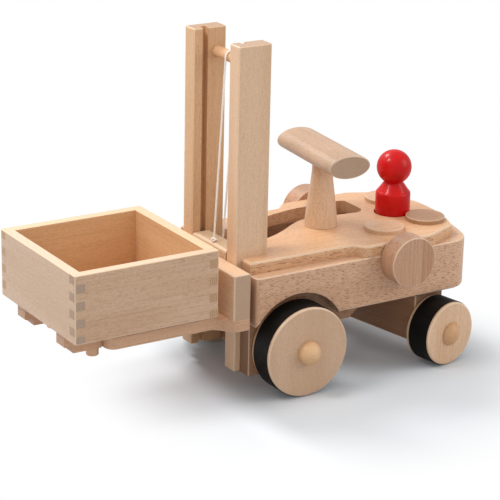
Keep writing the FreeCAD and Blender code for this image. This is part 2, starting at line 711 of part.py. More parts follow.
def fork_plate():
    """Plate under the board: an S-shaped flare on each side at its root, and two prongs."""
    tip, root = PRONG_TIP, -MAST_GAP
    r = PRONG_TIP_R
    corner = r * (1 - math.sqrt(0.5))
    flare = [(PRONG_OUT, FLARE_START), (PRONG_OUT + 2.0, -25.0), (PRONG_OUT + 7.7, -20.3),
             (PRONG_OUT + 13.5, -15.0), (BOARD_HALF, FLARE_END)]

    def flat(x, y):
        return (x, y_at(y), 0)

    def side(s):
        """One side's outline from the root to the inner end of the slot."""
        places = [V(*flat(s * x, y)) for x, y in flare]
        curve = Part.BSplineCurve()
        curve.interpolate(Points=places, InitialTangent=V(0, 1, 0), FinalTangent=V(0, 1, 0))
        outer, inner = s * PRONG_OUT, s * PRONG_IN
        return [line(flat(s * BOARD_HALF, root), flat(s * BOARD_HALF, FLARE_END)),
                curve.toShape(),
                line(flat(outer, FLARE_START), flat(outer, tip + r)),
                arc(flat(outer, tip + r), flat(outer - s * corner, tip + corner),
                    flat(outer - s * r, tip)),
                line(flat(outer - s * r, tip), flat(inner + s * r, tip)),
                arc(flat(inner + s * r, tip), flat(inner + s * corner, tip + corner),
                    flat(inner, tip + r)),
                line(flat(inner, tip + r), flat(inner, SLOT_END))]

    mouth = arc(flat(PRONG_IN, SLOT_END), flat(0, SLOT_END + PRONG_IN), flat(-PRONG_IN, SLOT_END))
    back = line(flat(-BOARD_HALF, root), flat(BOARD_HALF, root))
    wire = Part.Wire(Part.__sortEdges__(side(1) + [mouth] + side(-1) + [back]))
    plate = extrude_plan(wire, PLATE_BOTTOM, PLATE_TOP)
    return rounded(plate, FORK_LOW_ROUND,
                   lambda e: at_height(e, PLATE_BOTTOM) and e.CenterOfMass.y < y_at(root - OVER / 2))


# ---------------------------------------------------------------- load box
def box_shell():
    shell = box(-BOX_HALF, BOX_HALF, BOX_FRONT, BOX_BACK, BOX_BOTTOM, BOX_TOP)
    shell = rounded(shell, BOX_CORNER, lambda e: along(e, 2))
    inside = BOX_HALF - BOX_WALL
    cavity = box(-inside, inside, BOX_FRONT + BOX_WALL, BOX_BACK - BOX_WALL,
                 BOX_BOTTOM - OVER, BOX_TOP + OVER)
    shell = rounded(shell, BOX_FOOT_ROUND, lambda e: at_height(e, BOX_BOTTOM)).cut(cavity)
    return rounded(shell, BOX_RIM_ROUND, lambda e: at_height(e, BOX_TOP))


def end_wall_mask(y0, y1):
    """Space of the front or rear wall: its fingers reach through the side walls."""
    inside = BOX_HALF - BOX_WALL
    mask = box(-inside, inside, y0, y1, BOX_BOTTOM - OVER, BOX_TOP + OVER)
    pitch = (BOX_TOP - BOX_BOTTOM) / FINGERS
    fingers = []
    for n in range(0, FINGERS, 2):
        low = BOX_BOTTOM + pitch * n
        below = OVER if n == 0 else 0
        fingers.append(box(-BOX_HALF - OVER, BOX_HALF + OVER, y0, y1, low - below, low + pitch))
    return mask.fuse(fingers)


def box_walls():
    shell = box_shell()
    front = end_wall_mask(BOX_FRONT - OVER, BOX_FRONT + BOX_WALL)
    rear = end_wall_mask(BOX_BACK - BOX_WALL, BOX_BACK + OVER)
    save("box_front_wall", shell.common(front))
    save("box_rear_wall", shell.common(rear))
    sides = shell.cut(front).cut(rear)
    save("box_side_wall_left", sides.common(slab(0, FAR)))
    save("box_side_wall_right", sides.common(slab(-FAR, 0)))


def box_floor():
    inside = BOX_HALF - BOX_WALL
    floor = box(-inside, inside, BOX_FRONT + BOX_WALL, BOX_BACK - BOX_WALL,
                BOX_BOTTOM, BOX_BOTTOM + FLOOR_T)
    for s in (1, -1):
        floor = floor.cut(rod_z(s * RUNNER_X, PEG_Y, 0, FAR, PEG_R))
    return floor


def box_runner():
    """Strip under the box that lies on a prong; its thick front end hooks over the prong's tip."""
    x0, x1 = RUNNER_X - RUNNER_HALF, RUNNER_X + RUNNER_HALF
    hook_back = PRONG_TIP - HOOK_GAP
    strip = box(x0, x1, hook_back, RUNNER_BACK, PLATE_TOP + REST_GAP, BOX_BOTTOM)
    hook = box(x0, x1, NOSE_BACK, hook_back, PLATE_BOTTOM, BOX_BOTTOM)
    nose = box(x0, x1, RUNNER_FRONT, NOSE_BACK, NOSE_BOTTOM, BOX_BOTTOM)
    runner = strip.fuse([hook, nose]).removeSplitter()
    runner = rounded(runner, RUNNER_ROUND, lambda e: along(e, 0)
                     and e.CenterOfMass.z < NOSE_BOTTOM + OVER
                     and e.CenterOfMass.y < y_at(PRONG_TIP))
    return runner.cut(rod_z(RUNNER_X, PEG_Y, 0, FAR, PEG_R))


def box_peg():
    peg = rod_z(RUNNER_X, PEG_Y, PEG_BOTTOM, BOX_BOTTOM + FLOOR_T, PEG_R)
    return rounded(peg, PEG_ROUND, lambda e: at_height(e, PEG_BOTTOM))


# ---------------------------------------------------------------- assembly
def build_mast_and_body():
    save_pair("mast_post", mast_post())
    save("mast_top_rod", mast_rod(*TOP_ROD))
    save("cord_guide_rod", mast_rod(*GUIDE_ROD))
    body = body_envelope()
    save_pair("side_panel", side_panel(body))
    save_pair("inner_cheek", cheek())
    save("front_axle_block", front_block())
    save("column_rail", column_rail())
    save("rear_pivot_block", rear_block(body))
    save("deck_plate", deck_plate())
    for name, place in DISCS.items():
        save("deck_disc_" + name, deck_disc(place))


def build_handle_and_driver():
    column = handle_column()
    save("handle_column", turned_with_handle(column))
    save("handlebar", turned_with_handle(handlebar(column)))
    save("steering_arm", turned_with_handle(steering_arm()))
    save("steering_link_pin", turned_with_handle(steering_link_pin()))
    save("driver_figure", driver_figure())


def build_running_gear():
    wheelset("front", FRONT_R, FRONT_FACE, FRONT_Y, FRONT_CAP, 0.0)
    wheelset("rear", REAR_R, REAR_FACE, REAR_Y, REAR_CAP, STEER_REST)
    save("rear_bolster", rear_bolster())
    save("steering_fork", steering_fork())
    save("pivot_pin", pivot_pin())
    save("pivot_washer", pivot_washer())


def build_winch():
    save_pair("winch_knob", winch_knob())
    save("winch_axle", winch_axle())
    save("cord_coil", cord_coil())
    save("cord_over_mast", cord_over_mast())
    save("cord_lift_run", cord_lift_run())


def build_carriage_and_box():
    save("carriage_board", carriage_board())
    save("carriage_slider", carriage_slider())
    save("fork_plate", fork_plate())
    box_walls()
    save("box_floor", box_floor())
    save_pair("box_runner", box_runner())
    save_pair("box_peg", box_peg())


build_mast_and_body()
build_handle_and_driver()
build_running_gear()
build_winch()
build_carriage_and_box()
os.makedirs("parts", exist_ok=True)
for node, solid in sorted(PARTS.items()):
    solid.exportStep("parts/" + node + ".step")
print(len(PARTS), "nodes written")
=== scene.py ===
"""Looks for the wooden toy forklift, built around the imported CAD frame. Metres, +Z up."""
import json
import math
import random

import bmesh
import bpy
from mathutils import Matrix, Vector


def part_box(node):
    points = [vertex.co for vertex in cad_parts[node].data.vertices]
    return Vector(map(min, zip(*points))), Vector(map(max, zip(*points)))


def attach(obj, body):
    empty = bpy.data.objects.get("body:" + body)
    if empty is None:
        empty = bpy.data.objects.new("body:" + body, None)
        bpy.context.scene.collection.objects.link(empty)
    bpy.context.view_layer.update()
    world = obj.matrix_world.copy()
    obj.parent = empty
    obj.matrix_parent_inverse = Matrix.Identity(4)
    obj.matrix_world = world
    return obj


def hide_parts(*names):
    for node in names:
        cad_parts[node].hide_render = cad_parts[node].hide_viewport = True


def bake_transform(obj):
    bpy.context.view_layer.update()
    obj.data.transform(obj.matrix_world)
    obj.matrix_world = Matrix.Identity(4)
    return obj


MM = 0.001
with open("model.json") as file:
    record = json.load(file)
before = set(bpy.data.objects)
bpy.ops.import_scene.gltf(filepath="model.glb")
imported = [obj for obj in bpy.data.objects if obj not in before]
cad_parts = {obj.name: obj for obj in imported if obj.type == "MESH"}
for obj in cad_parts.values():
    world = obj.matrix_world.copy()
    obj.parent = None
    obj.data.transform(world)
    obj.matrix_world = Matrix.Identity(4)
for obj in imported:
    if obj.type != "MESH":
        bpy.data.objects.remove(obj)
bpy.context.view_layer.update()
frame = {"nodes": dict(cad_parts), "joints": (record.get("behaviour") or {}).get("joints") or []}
nodes = frame["nodes"]
random.seed(7)

X, Y, Z = Vector((1, 0, 0)), Vector((0, 1, 0)), Vector((0, 0, 1))


# ------------------------------------------------------------------ node helpers
class Graph:
    """Short calls for building a node tree."""

    def __init__(self, tree):
        self.tree = tree

    def node(self, kind, **settings):
        n = self.tree.nodes.new(kind)
        for key, value in settings.items():
            setattr(n, key, value)
        return n

    def put(self, socket, value):
        if isinstance(value, bpy.types.NodeSocket):
            self.tree.links.new(value, socket)
        elif value is not None:
            socket.default_value = value

    def math(self, operation, a, b=None, c=None, clamp=False):
        n = self.node("ShaderNodeMath", operation=operation, use_clamp=clamp)
        for socket, value in zip(n.inputs, (a, b, c)):
            self.put(socket, value)
        return n.outputs[0]

    def dot(self, a, b):
        n = self.node("ShaderNodeVectorMath", operation="DOT_PRODUCT")
        self.put(n.inputs[0], a)
        self.put(n.inputs[1], b)
        return n.outputs["Value"]

    def vector(self, x, y, z):
        n = self.node("ShaderNodeCombineXYZ")
        for socket, value in zip(n.inputs, (x, y, z)):
            self.put(socket, value)
        return n.outputs[0]

    def noise(self, vector, scale, detail=2.0, rough=0.5, distortion=0.0):
        n = self.node("ShaderNodeTexNoise")
        self.put(n.inputs["Vector"], vector)
        n.inputs["Scale"].default_value = scale
        n.inputs["Detail"].default_value = detail
        n.inputs["Roughness"].default_value = rough
        n.inputs["Distortion"].default_value = distortion
        return n.outputs["Fac"]

    def ramp(self, value, low, high, out_low=0.0, out_high=1.0):
        n = self.node("ShaderNodeMapRange", interpolation_type="SMOOTHSTEP")
        for name, v in (("Value", value), ("From Min", low), ("From Max", high),
                        ("To Min", out_low), ("To Max", out_high)):
            self.put(n.inputs[name], v)
        return n.outputs[0]

    def mix(self, factor, a, b, blend="MIX"):
        n = self.node("ShaderNodeMix", data_type="RGBA", blend_type=blend)
        self.put(n.inputs["Factor"], factor)
        self.put(n.inputs["A"], a)
        self.put(n.inputs["B"], b)
        return n.outputs["Result"]


def new_material(name):
    material = bpy.data.materials.new(name)
    material.use_nodes = True
    graph = Graph(material.node_tree)
    shader = next(n for n in material.node_tree.nodes if n.type == "BSDF_PRINCIPLED")
    return material, graph, shader


def add_bump(g, shader, height, strength, distance):
    bump = g.node("ShaderNodeBump")
    bump.inputs["Strength"].default_value = strength
    bump.inputs["Distance"].default_value = distance
    g.put(bump.inputs["Height"], height)
    g.put(shader.inputs["Normal"], bump.outputs["Normal"])


def srgb(r, g, b):
    """Linear colour of an 8-bit screen colour."""
    def lin(c):
        c /= 255
        return c / 12.92 if c <= 0.04045 else ((c + 0.055) / 1.055) ** 2.4
    return (lin(r), lin(g), lin(b), 1.0)


# ------------------------------------------------------------------ beech
BEECH_PALE = srgb(232, 200, 168)
BEECH_MID = srgb(220, 183, 148)
BEECH_DEEP = srgb(190, 144, 108)
FLECK = srgb(143, 92, 62)
END_PALE = srgb(205, 174, 147)
END_DEEP = srgb(150, 117, 92)
# pale colour of the painted highlight on rounded edges
EDGE_HIGHLIGHT_PALE = srgb(246, 222, 194)
EDGE_HIGHLIGHT = 0.42            # painted highlight: how far a board's rounded edges turn pale, standing in for the light they catch
BOARD_SHIFT = {"along": 3.7, "face": 0.23, "deep": 0.31}  # how the seed moves a board in the figure
# cells per metre along the grain and across it
CELLS = {"broad": (4, 38), "bands": (9, 560), "fibre": (70, 2600), "mottle": (620, 760),
         "rays": (190, 1750)}
BAND_EDGES = (0.44, 0.74)
FIBRE_EDGES = (0.42, 0.78)
MOTTLE_EDGES = (0.4, 0.72)
RAY_EDGES = (0.55, 0.645)
FIBRE_SHARE = 0.24
MOTTLE_SHARE = 0.34
RAY_SHARE = 0.75
PITH_SWAY = 0.09            # metres, how far aside of a board its pith may lie
PITH_DEPTH = 0.075          # metres, how far outside the board it lies
RING_WANDER = 0.004         # metres
RING_PHASE = 3600.0         # radians per metre, which is a growth ring every 1.75 mm
PORES_PER_METRE = 1900.0
END_SHARE = 0.8
OILED_ROUGHNESS = 0.36
MOTTLE_ROUGHNESS = 0.16     # how much rougher the mottle is
GRAIN_DEPTH = 0.12 * MM


def beech_group():
    """Node group: beech figure from a place along the grain, two across it, and a seed."""
    tree = bpy.data.node_groups.new("beech_figure", "ShaderNodeTree")
    for name in ("Along", "Face", "Deep", "End", "Seed", "Figure", "Dashes"):
        tree.interface.new_socket(name, in_out="INPUT", socket_type="NodeSocketFloat")
    tree.interface.new_socket("Tint", in_out="INPUT", socket_type="NodeSocketColor")
    tree.interface.new_socket("Color", in_out="OUTPUT", socket_type="NodeSocketColor")
    tree.interface.new_socket("Roughness", in_out="OUTPUT", socket_type="NodeSocketFloat")
    tree.interface.new_socket("Height", in_out="OUTPUT", socket_type="NodeSocketFloat")
    g = Graph(tree)
    source = g.node("NodeGroupInput")
    along, face, deep, end, seed, figure, dashes, tint = source.outputs[:8]
    shift = g.math("MULTIPLY", seed, BOARD_SHIFT["along"])
    deep_s = g.math("ADD", deep, g.math("MULTIPLY", seed, BOARD_SHIFT["deep"]))
    face_s = g.math("ADD", face, g.math("MULTIPLY", seed, BOARD_SHIFT["face"]))

    def figure_noise(layer, **settings):
        """Noise of one layer of the figure, drawn out along the grain."""
        k_along, k_across = CELLS[layer]
        place = g.vector(g.math("ADD", g.math("MULTIPLY", along, k_along), shift),
                         g.math("MULTIPLY", face_s, k_across), g.math("MULTIPLY", deep_s, k_across))
        return g.noise(place, 1.0, **settings)

    broad = figure_noise("broad", distortion=0.5)
    bands = figure_noise("bands", detail=3.0, rough=0.6, distortion=0.3)
    fibre = figure_noise("fibre", rough=0.6)
    mottle = figure_noise("mottle", detail=3.0, rough=0.7)
    rays = figure_noise("rays", detail=1.5, rough=0.45, distortion=0.1)
    ray_mask = g.math("MULTIPLY", g.ramp(rays, *RAY_EDGES), dashes)
    side = g.mix(g.ramp(broad, 0.34, 0.68, 0.15, 0.8), BEECH_PALE, BEECH_MID)
    for value, edges, share in ((bands, BAND_EDGES, figure), (fibre, FIBRE_EDGES, FIBRE_SHARE),
                                (mottle, MOTTLE_EDGES, MOTTLE_SHARE)):
        side = g.mix(g.math("MULTIPLY", g.ramp(value, *edges), share), side, BEECH_DEEP)
    side = g.mix(g.math("MULTIPLY", ray_mask, RAY_SHARE), side, FLECK)

    # end grain: growth rings round a pith that lies outside the piece, and fine pores
    sway = g.math("MULTIPLY", g.math("SINE", g.math("MULTIPLY", seed, 5.0)), PITH_SWAY)
    ring_x = g.math("ADD", face, sway)
    ring_y = g.math("ADD", deep, PITH_DEPTH)
    radius = g.math("SQRT", g.math("ADD", g.math("MULTIPLY", ring_x, ring_x),
                                   g.math("MULTIPLY", ring_y, ring_y)))
    wander = g.math("MULTIPLY", g.noise(g.vector(face, deep, seed), 45.0), RING_WANDER)
    rings = g.math("SINE", g.math("MULTIPLY", g.math("ADD", radius, wander), RING_PHASE))
    pores = g.noise(g.vector(g.math("MULTIPLY", face, PORES_PER_METRE),
                             g.math("MULTIPLY", deep, PORES_PER_METRE), seed), 1.0, detail=1.0)
    end_tone = g.math("ADD", g.ramp(rings, 0.1, 1.0, 0.12, 0.85), g.ramp(pores, 0.4, 0.7, 0.0, 0.35))
    end_colour = g.mix(g.math("MULTIPLY", end_tone, END_SHARE, clamp=True), END_PALE, END_DEEP)

    colour = g.mix(1.0, g.mix(end, side, end_colour), tint, blend="MULTIPLY")
    sink = g.node("NodeGroupOutput")
    g.put(sink.inputs["Color"], colour)
    g.put(sink.inputs["Roughness"],
          g.math("ADD", OILED_ROUGHNESS, g.math("MULTIPLY", mottle, MOTTLE_ROUGHNESS)))
    g.put(sink.inputs["Height"], g.math("ADD", g.math("MULTIPLY", fibre, 0.5),
                                        g.math("MULTIPLY", ray_mask, -0.6)))
    return tree


BEECH = beech_group()


def painted_edge_highlight(g, normal, directions, axis, rim):
    """How far a rounded edge turns pale: a painted highlight standing in for the light it catches.

    With an axis, an edge is where the surface turns from facing along it to facing across it;
    a rim is an upper face so narrow that all of it looks like an edge. Without an axis, an edge
    is where the surface faces none of the board's three directions.
    """
    square = 0.0
    for direction in directions if axis is None else ():
        square = g.math("MAXIMUM", square, g.math("ABSOLUTE", g.dot(normal, direction)))
    edge = g.ramp(square, 0.8, 0.97, EDGE_HIGHLIGHT, 0.0) if axis is None else 0.0
    if axis is not None or rim:
        slope = g.math("ABSOLUTE", g.dot(normal, Z if axis is None else axis))
        turned = g.ramp(slope, 0.15, 0.5, 0.0, EDGE_HIGHLIGHT)
        if not rim:
            turned = g.math("MULTIPLY", turned, g.ramp(slope, 0.9, 0.99, 1.0, 0.0))
        edge = g.math("MAXIMUM", edge, turned)
    return edge


def beech(name, grain, face, figure, dashes, end, tint, edge_highlit=True, axis=None, rim=False):
    """Beech whose fibres run along `grain`; `face` is the direction the board's wide side spans."""
    grain = Vector(grain).normalized()
    face = Vector(face).normalized()
    deep = grain.cross(face)
    material, g, shader = new_material("beech_" + name)
    place = g.node("ShaderNodeTexCoord")
    group = g.node("ShaderNodeGroup", node_tree=BEECH)
    for socket, direction in (("Along", grain), ("Face", face), ("Deep", deep)):
        g.put(group.inputs[socket], g.dot(place.outputs["Object"], direction))
    facing = g.math("ABSOLUTE", g.dot(place.outputs["Normal"], grain))
    g.put(group.inputs["End"], g.ramp(facing, 0.72, 0.95, 0.0, end))
    group.inputs["Seed"].default_value = random.uniform(0.0, 9.0)
    group.inputs["Figure"].default_value = figure
    flat_sawn = g.math("ABSOLUTE", g.dot(place.outputs["Normal"], deep))
    g.put(group.inputs["Dashes"], g.ramp(flat_sawn, 0.3, 0.8, 0.3 * dashes, dashes))
    group.inputs["Tint"].default_value = (*tint, 1.0)
    colour = group.outputs["Color"]
    # painted highlight: rounded edges turn pale, standing in for the light they catch
    if edge_highlit:
        edge = painted_edge_highlight(g, place.outputs["Normal"], (grain, face, deep), axis, rim)
        colour = g.mix(edge, colour, EDGE_HIGHLIGHT_PALE)
    g.put(shader.inputs["Base Color"], colour)
    g.put(shader.inputs["Roughness"], group.outputs["Roughness"])
    shader.inputs["Specular IOR Level"].default_value = 0.3
    shader.inputs["Coat Weight"].default_value = 0.22
    shader.inputs["Coat Roughness"].default_value = 0.22
    add_bump(g, shader, group.outputs["Height"], 0.35, GRAIN_DEPTH)
    return material


# ------------------------------------------------------------------ other materials
SKIN_DEPTH = 0.1 * MM       # depth of the bumps of lacquer, rubber and cord


def lacquer_red():
    material, g, shader = new_material("red_lacquer")
    place = g.node("ShaderNodeTexCoord").outputs["Object"]
    cloud = g.noise(place, 60.0)
    g.put(shader.inputs["Base Color"],
          g.mix(g.ramp(cloud, 0.3, 0.7), srgb(208, 8, 8), srgb(188, 5, 6)))
    ripple = g.noise(place, 420.0, detail=1.0)
    shader.inputs["Roughness"].default_value = 0.45
    shader.inputs["Specular IOR Level"].default_value = 0.16
    shader.inputs["Coat Weight"].default_value = 0.22
    shader.inputs["Coat Roughness"].default_value = 0.12
    add_bump(g, shader, ripple, 0.2, SKIN_DEPTH)
    return material


def rubber_black():
    material, g, shader = new_material("tyre_rubber")
    place = g.node("ShaderNodeTexCoord").outputs["Object"]
    dust = g.noise(place, 300.0, detail=4.0, rough=0.7)
    g.put(shader.inputs["Base Color"],
          g.mix(g.ramp(dust, 0.45, 0.8), srgb(5, 5, 5), srgb(17, 16, 15)))
    g.put(shader.inputs["Roughness"], g.ramp(dust, 0.2, 0.8, 0.42, 0.62))
    shader.inputs["Specular IOR Level"].default_value = 0.22
    add_bump(g, shader, g.noise(place, 1500.0), 0.25, SKIN_DEPTH)
    return material


def cord_white():
    material, g, shader = new_material("cord_white")
    place = g.node("ShaderNodeTexCoord").outputs["Object"]
    lint = g.noise(place, 1800.0, detail=3.0, rough=0.7)
    g.put(shader.inputs["Base Color"],
          g.mix(g.ramp(lint, 0.4, 0.8), srgb(253, 250, 244), srgb(232, 226, 215)))
    shader.inputs["Roughness"].default_value = 0.85
    shader.inputs["Sheen Weight"].default_value = 0.3
    add_bump(g, shader, lint, 0.5, SKIN_DEPTH)
    return material


WOOD_SHARP = 32             # degrees between faces from which an edge stays sharp
CORD_SHARP = 60


def paint(obj, material):
    obj.data.materials.clear()
    obj.data.materials.append(material)


def smooth(obj, degrees):
    obj.data.shade_smooth()
    obj.data.set_sharp_from_angle(angle=math.radians(degrees))


# ------------------------------------------------------------------ finish of the CAD pieces
STEER = Vector(next(j for j in frame["joints"] if j["name"] == "rear_axle_spin")["axis"]).normalized()
STEER_BACK = Z.cross(STEER)
BAR_TURN = -5.5             # degrees, how the handlebar stands at rest
BAR_AXIS = Matrix.Rotation(math.radians(BAR_TURN), 3, "Z") @ X

# tones of the boards the toy is cut from; three of them are painted shade or bounce light, as said at
# each
PLAIN = (1.0, 0.985, 0.97)
# painted warm shade: the orange bounce light on the far post
BOUNCE_AMBER = (0.95, 0.88, 0.76)
PALE = (0.86, 0.90, 0.97)
GREY = (0.83, 0.81, 0.81)
TAN = (0.91, 0.82, 0.785)
# painted shadow: the driver's shadow on the rear-left deck disc
DRIVER_SHADOW_BROWN = (0.64, 0.52, 0.42)
WARM = (0.98, 0.86, 0.74)
HONEY = (0.99, 0.91, 0.75)
AMBER_CAP = (0.84, 0.71, 0.54)
STRAW = (0.84, 0.86, 0.83)
ROSE = (0.74, 0.62, 0.59)
ASH = (0.74, 0.72, 0.73)
# painted shade: a dark tone for the cheeks and blocks that sit in shade under the body
UNDERBODY_SHADE = (0.50, 0.40, 0.34)

# per kind of piece: grain, direction of its wide face, strength of the bands, of the ray
# dashes and of the end grain, and the board's tone, which for some pieces is painted shade
WOOD = {
    "mast_post": (Z, Y, 0.15, 0.2, 1.0, PLAIN),
    # the far post takes painted warm bounce light
    "mast_post_right": (Z, Y, 0.3, 0.2, 1.0, BOUNCE_AMBER),
    "mast_top_rod": (X, Y, 0.2, 0.1, 1.0, WARM),
    "cord_guide_rod": (X, Y, 0.2, 0.1, 1.0, WARM),
    "side_panel": (Y, Z, 0.25, 1.0, 1.0, TAN),
    # the cheeks, front block and column rail take the painted shade of the underbody
    "inner_cheek": (Y, Z, 0.35, 0.8, 1.0, UNDERBODY_SHADE),
    "front_axle_block": (X, Y, 0.4, 0.5, 1.0, UNDERBODY_SHADE),
    "column_rail": (X, Y, 0.4, 0.4, 1.0, UNDERBODY_SHADE),
    "rear_pivot_block": (Y, X, 0.4, 0.6, 1.0, TAN),
    "deck_plate": (Y, Z, 0.2, 0.9, 0.6, WARM),
    "deck_disc": (Y, X, 0.25, 0.3, 0.4, TAN),
    "deck_disc_front": (Y, X, 0.25, 0.3, 0.4, PLAIN),
    # painted shadow of the driver on this disc
    "deck_disc_rear_left": (Y, X, 0.3, 0.3, 0.4, DRIVER_SHADOW_BROWN),
    "handle_column": (Z, X, 0.25, 0.3, 1.0, PLAIN),
    "handlebar": (BAR_AXIS, Z.cross(BAR_AXIS), 0.3, 0.4, 0.45, ASH),
    "steering_arm": (Y, X, 0.4, 0.3, 1.0, WARM),
    "steering_link_pin": (Z, X, 0.2, 0.1, 1.0, WARM),
    "front_axle": (X, Y, 0.2, 0.1, 1.0, WARM),
    "front_hub_cap": (X, Z, 0.1, 0.1, 0.0, HONEY),
    "front_wheel": (Z, Y, 0.08, 0.1, 0.2, GREY),
    "rear_axle": (STEER, Z, 0.2, 0.1, 1.0, WARM),
    "rear_hub_cap": (STEER, Z, 0.1, 0.1, 0.0, AMBER_CAP),
    "rear_wheel": (Z, STEER_BACK, 0.3, 0.15, 0.2, PLAIN),
    # painted shade under the body
    "rear_bolster": (STEER, STEER_BACK, 0.4, 0.6, 1.0, UNDERBODY_SHADE),
    "steering_fork": (STEER_BACK, STEER, 0.4, 0.3, 1.0, WARM),
    "pivot": (Z, X, 0.2, 0.1, 1.0, WARM),
    "winch_knob": (Z, Y, 0.8, 0.2, 0.6, ROSE),
    "winch_axle": (X, Y, 0.2, 0.1, 1.0, WARM),
    "carriage_board": (X, Z, 0.3, 0.3, 1.0, PLAIN),
    "carriage_slider": (X, Z, 0.3, 0.3, 1.0, STRAW),
    "fork_plate": (Y, X, 0.5, 0.3, 0.3, TAN),
    "box_front_wall": (X, Z, 0.2, 0.25, 1.0, PALE),
    "box_rear_wall": (X, Z, 0.3, 0.2, 1.0, HONEY),
    "box_side_wall": (Y, Z, 0.35, 0.3, 1.0, GREY),
    "box_side_wall_right": (Y, Z, 0.3, 0.2, 1.0, HONEY),
    "box_floor": (Y, X, 0.35, 0.3, 1.0, WARM),
    "box_runner": (Y, Z, 0.4, 0.3, 0.8, TAN),
    "box_peg": (Z, X, 0.2, 0.1, 1.0, TAN),
}
# pieces whose only sharp edges run round one direction, for the painted edge highlight
EDGE_AXIS = {"front_wheel": X, "rear_wheel": STEER, "winch_knob": X, "deck_disc": Z,
             "handlebar": BAR_AXIS, "deck_plate": Z, "side_panel": Z, "fork_plate": Z}
# round pieces and hidden blocks, whose edges get no painted highlight
NO_EDGE_HIGHLIGHT = ("mast_top_rod", "cord_guide_rod", "handle_column", "steering_link_pin", "rear_axle",
           "hub_cap", "pivot_", "winch_axle", "box_peg")
CORD_NODES = ("cord_coil", "cord_over_mast", "cord_lift_run")


def finish_cad_pieces():
    red, rubber = lacquer_red(), rubber_black()
    for name, obj in sorted(nodes.items()):
        smooth(obj, WOOD_SHARP)
        if name == "driver_figure":
            paint(obj, red)
        elif "tyre" in name:
            paint(obj, rubber)
        elif name not in CORD_NODES:
            stem = max((s for s in WOOD if name.startswith(s)), key=len)
            axis = next((a for part, a in EDGE_AXIS.items() if name.startswith(part)), None)
            # which pieces get the painted edge highlight; box wall tops get it all over
            edge_highlit = not any(part in name for part in NO_EDGE_HIGHLIGHT)
            rim = name.startswith("box_") and "wall" in name
            paint(obj, beech(name, *WOOD[stem], edge_highlit, axis, rim))


# ------------------------------------------------------------------ cord
CORD_R = 1.0 * MM
STRANDS = 3
STRAND_R = 0.54 * CORD_R
STRAND_SIDES = 6
LAY = 5.0 * MM              # length of one turn of the strands
LAY_STEPS = 10
TOP_X = -5.0 * MM
REAR_RUN_X = -15.0 * MM     # the run behind the slider leans to the right, down to the guide rod
COIL_STEPS = 24             # points in each turn of the coil
KNOT_R = 2.1 * MM
KNOT_STEPS = 48
KNOT_SWING = 0.38           # how far the trefoil's loops swing in and out, against its radius
KNOT_DEPTH = 0.42
KNOT_LIFT = 0.8             # height of its middle above the cord's end, against its radius


def resample(points, step):
    """Points spaced evenly along a polyline."""
    out = [points[0].copy()]
    carry = 0.0
    for a, b in zip(points, points[1:]):
        length = (b - a).length
        at = step - carry
        while at <= length:
            out.append(a.lerp(b, at / length))
            at += step
        carry = length - (at - step)
    return out


def twisted_cord(name, points, material):
    """Strands twisted round a path, as one closed mesh per strand joined in one object."""
    path = resample(points, LAY / LAY_STEPS)
    offset = CORD_R - STRAND_R
    bm = bmesh.new()
    normal = None
    frames = []
    for i, p in enumerate(path):
        ahead = path[min(i + 1, len(path) - 1)]
        behind = path[max(i - 1, 0)]
        tangent = (ahead - behind).normalized()
        if normal is None:
            normal = tangent.orthogonal().normalized()
        normal = (normal - tangent * normal.dot(tangent)).normalized()
        frames.append((p, normal.copy(), tangent.cross(normal)))
    for s in range(STRANDS):
        rings = []
        for i, (p, n, b) in enumerate(frames):
            turn = 2 * math.pi * (i / LAY_STEPS + s / STRANDS)
            centre = p + (n * math.cos(turn) + b * math.sin(turn)) * offset
            ring = []
            for k in range(STRAND_SIDES):
                a = 2 * math.pi * k / STRAND_SIDES
                ring.append(bm.verts.new(centre + (n * math.cos(a) + b * math.sin(a)) * STRAND_R))
            rings.append(ring)
        for r0, r1 in zip(rings, rings[1:]):
            for k in range(STRAND_SIDES):
                after = (k + 1) % STRAND_SIDES
                bm.faces.new((r0[k], r0[after], r1[after], r1[k]))
        bm.faces.new(list(reversed(rings[0])))
        bm.faces.new(rings[-1])
    return mesh_object(name, bm, material)


def mesh_object(name, bm, material):
    bmesh.ops.recalc_face_normals(bm, faces=bm.faces)
    mesh = bpy.data.meshes.new(name)
    bm.to_mesh(mesh)
    bm.free()
    obj = bpy.data.objects.new(name, mesh)
    bpy.context.scene.collection.objects.link(obj)
    paint(obj, material)
    smooth(obj, CORD_SHARP)
    return obj


def arc_points(centre, radius, start, stop, count=14):
    """Points round an axis along X; angles in degrees from +Y towards +Z."""
    out = []
    for i in range(count + 1):
        a = math.radians(start + (stop - start) * i / count)
        out.append(centre + Vector((0, math.cos(a), math.sin(a))) * radius)
    return out


def node_centre(name):
    low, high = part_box(name)
    return (low + high) / 2


def rod_radius(name):
    low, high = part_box(name)
    return (high.z - low.z) / 2


def cord_knot(centre, material):
    """Overhand knot where the cord is tied to the slider: a trefoil of cord, pulled tight."""
    loop = []
    for i in range(KNOT_STEPS + 1):
        t = 2 * math.pi * i / KNOT_STEPS
        out = KNOT_R * (1 - KNOT_SWING + KNOT_SWING * math.cos(3 * t))
        loop.append(centre + Vector((out * math.cos(2 * t), out * math.sin(2 * t),
                                     KNOT_DEPTH * KNOT_R * math.sin(3 * t))))
    return twisted_cord("cord_knot", loop, material)


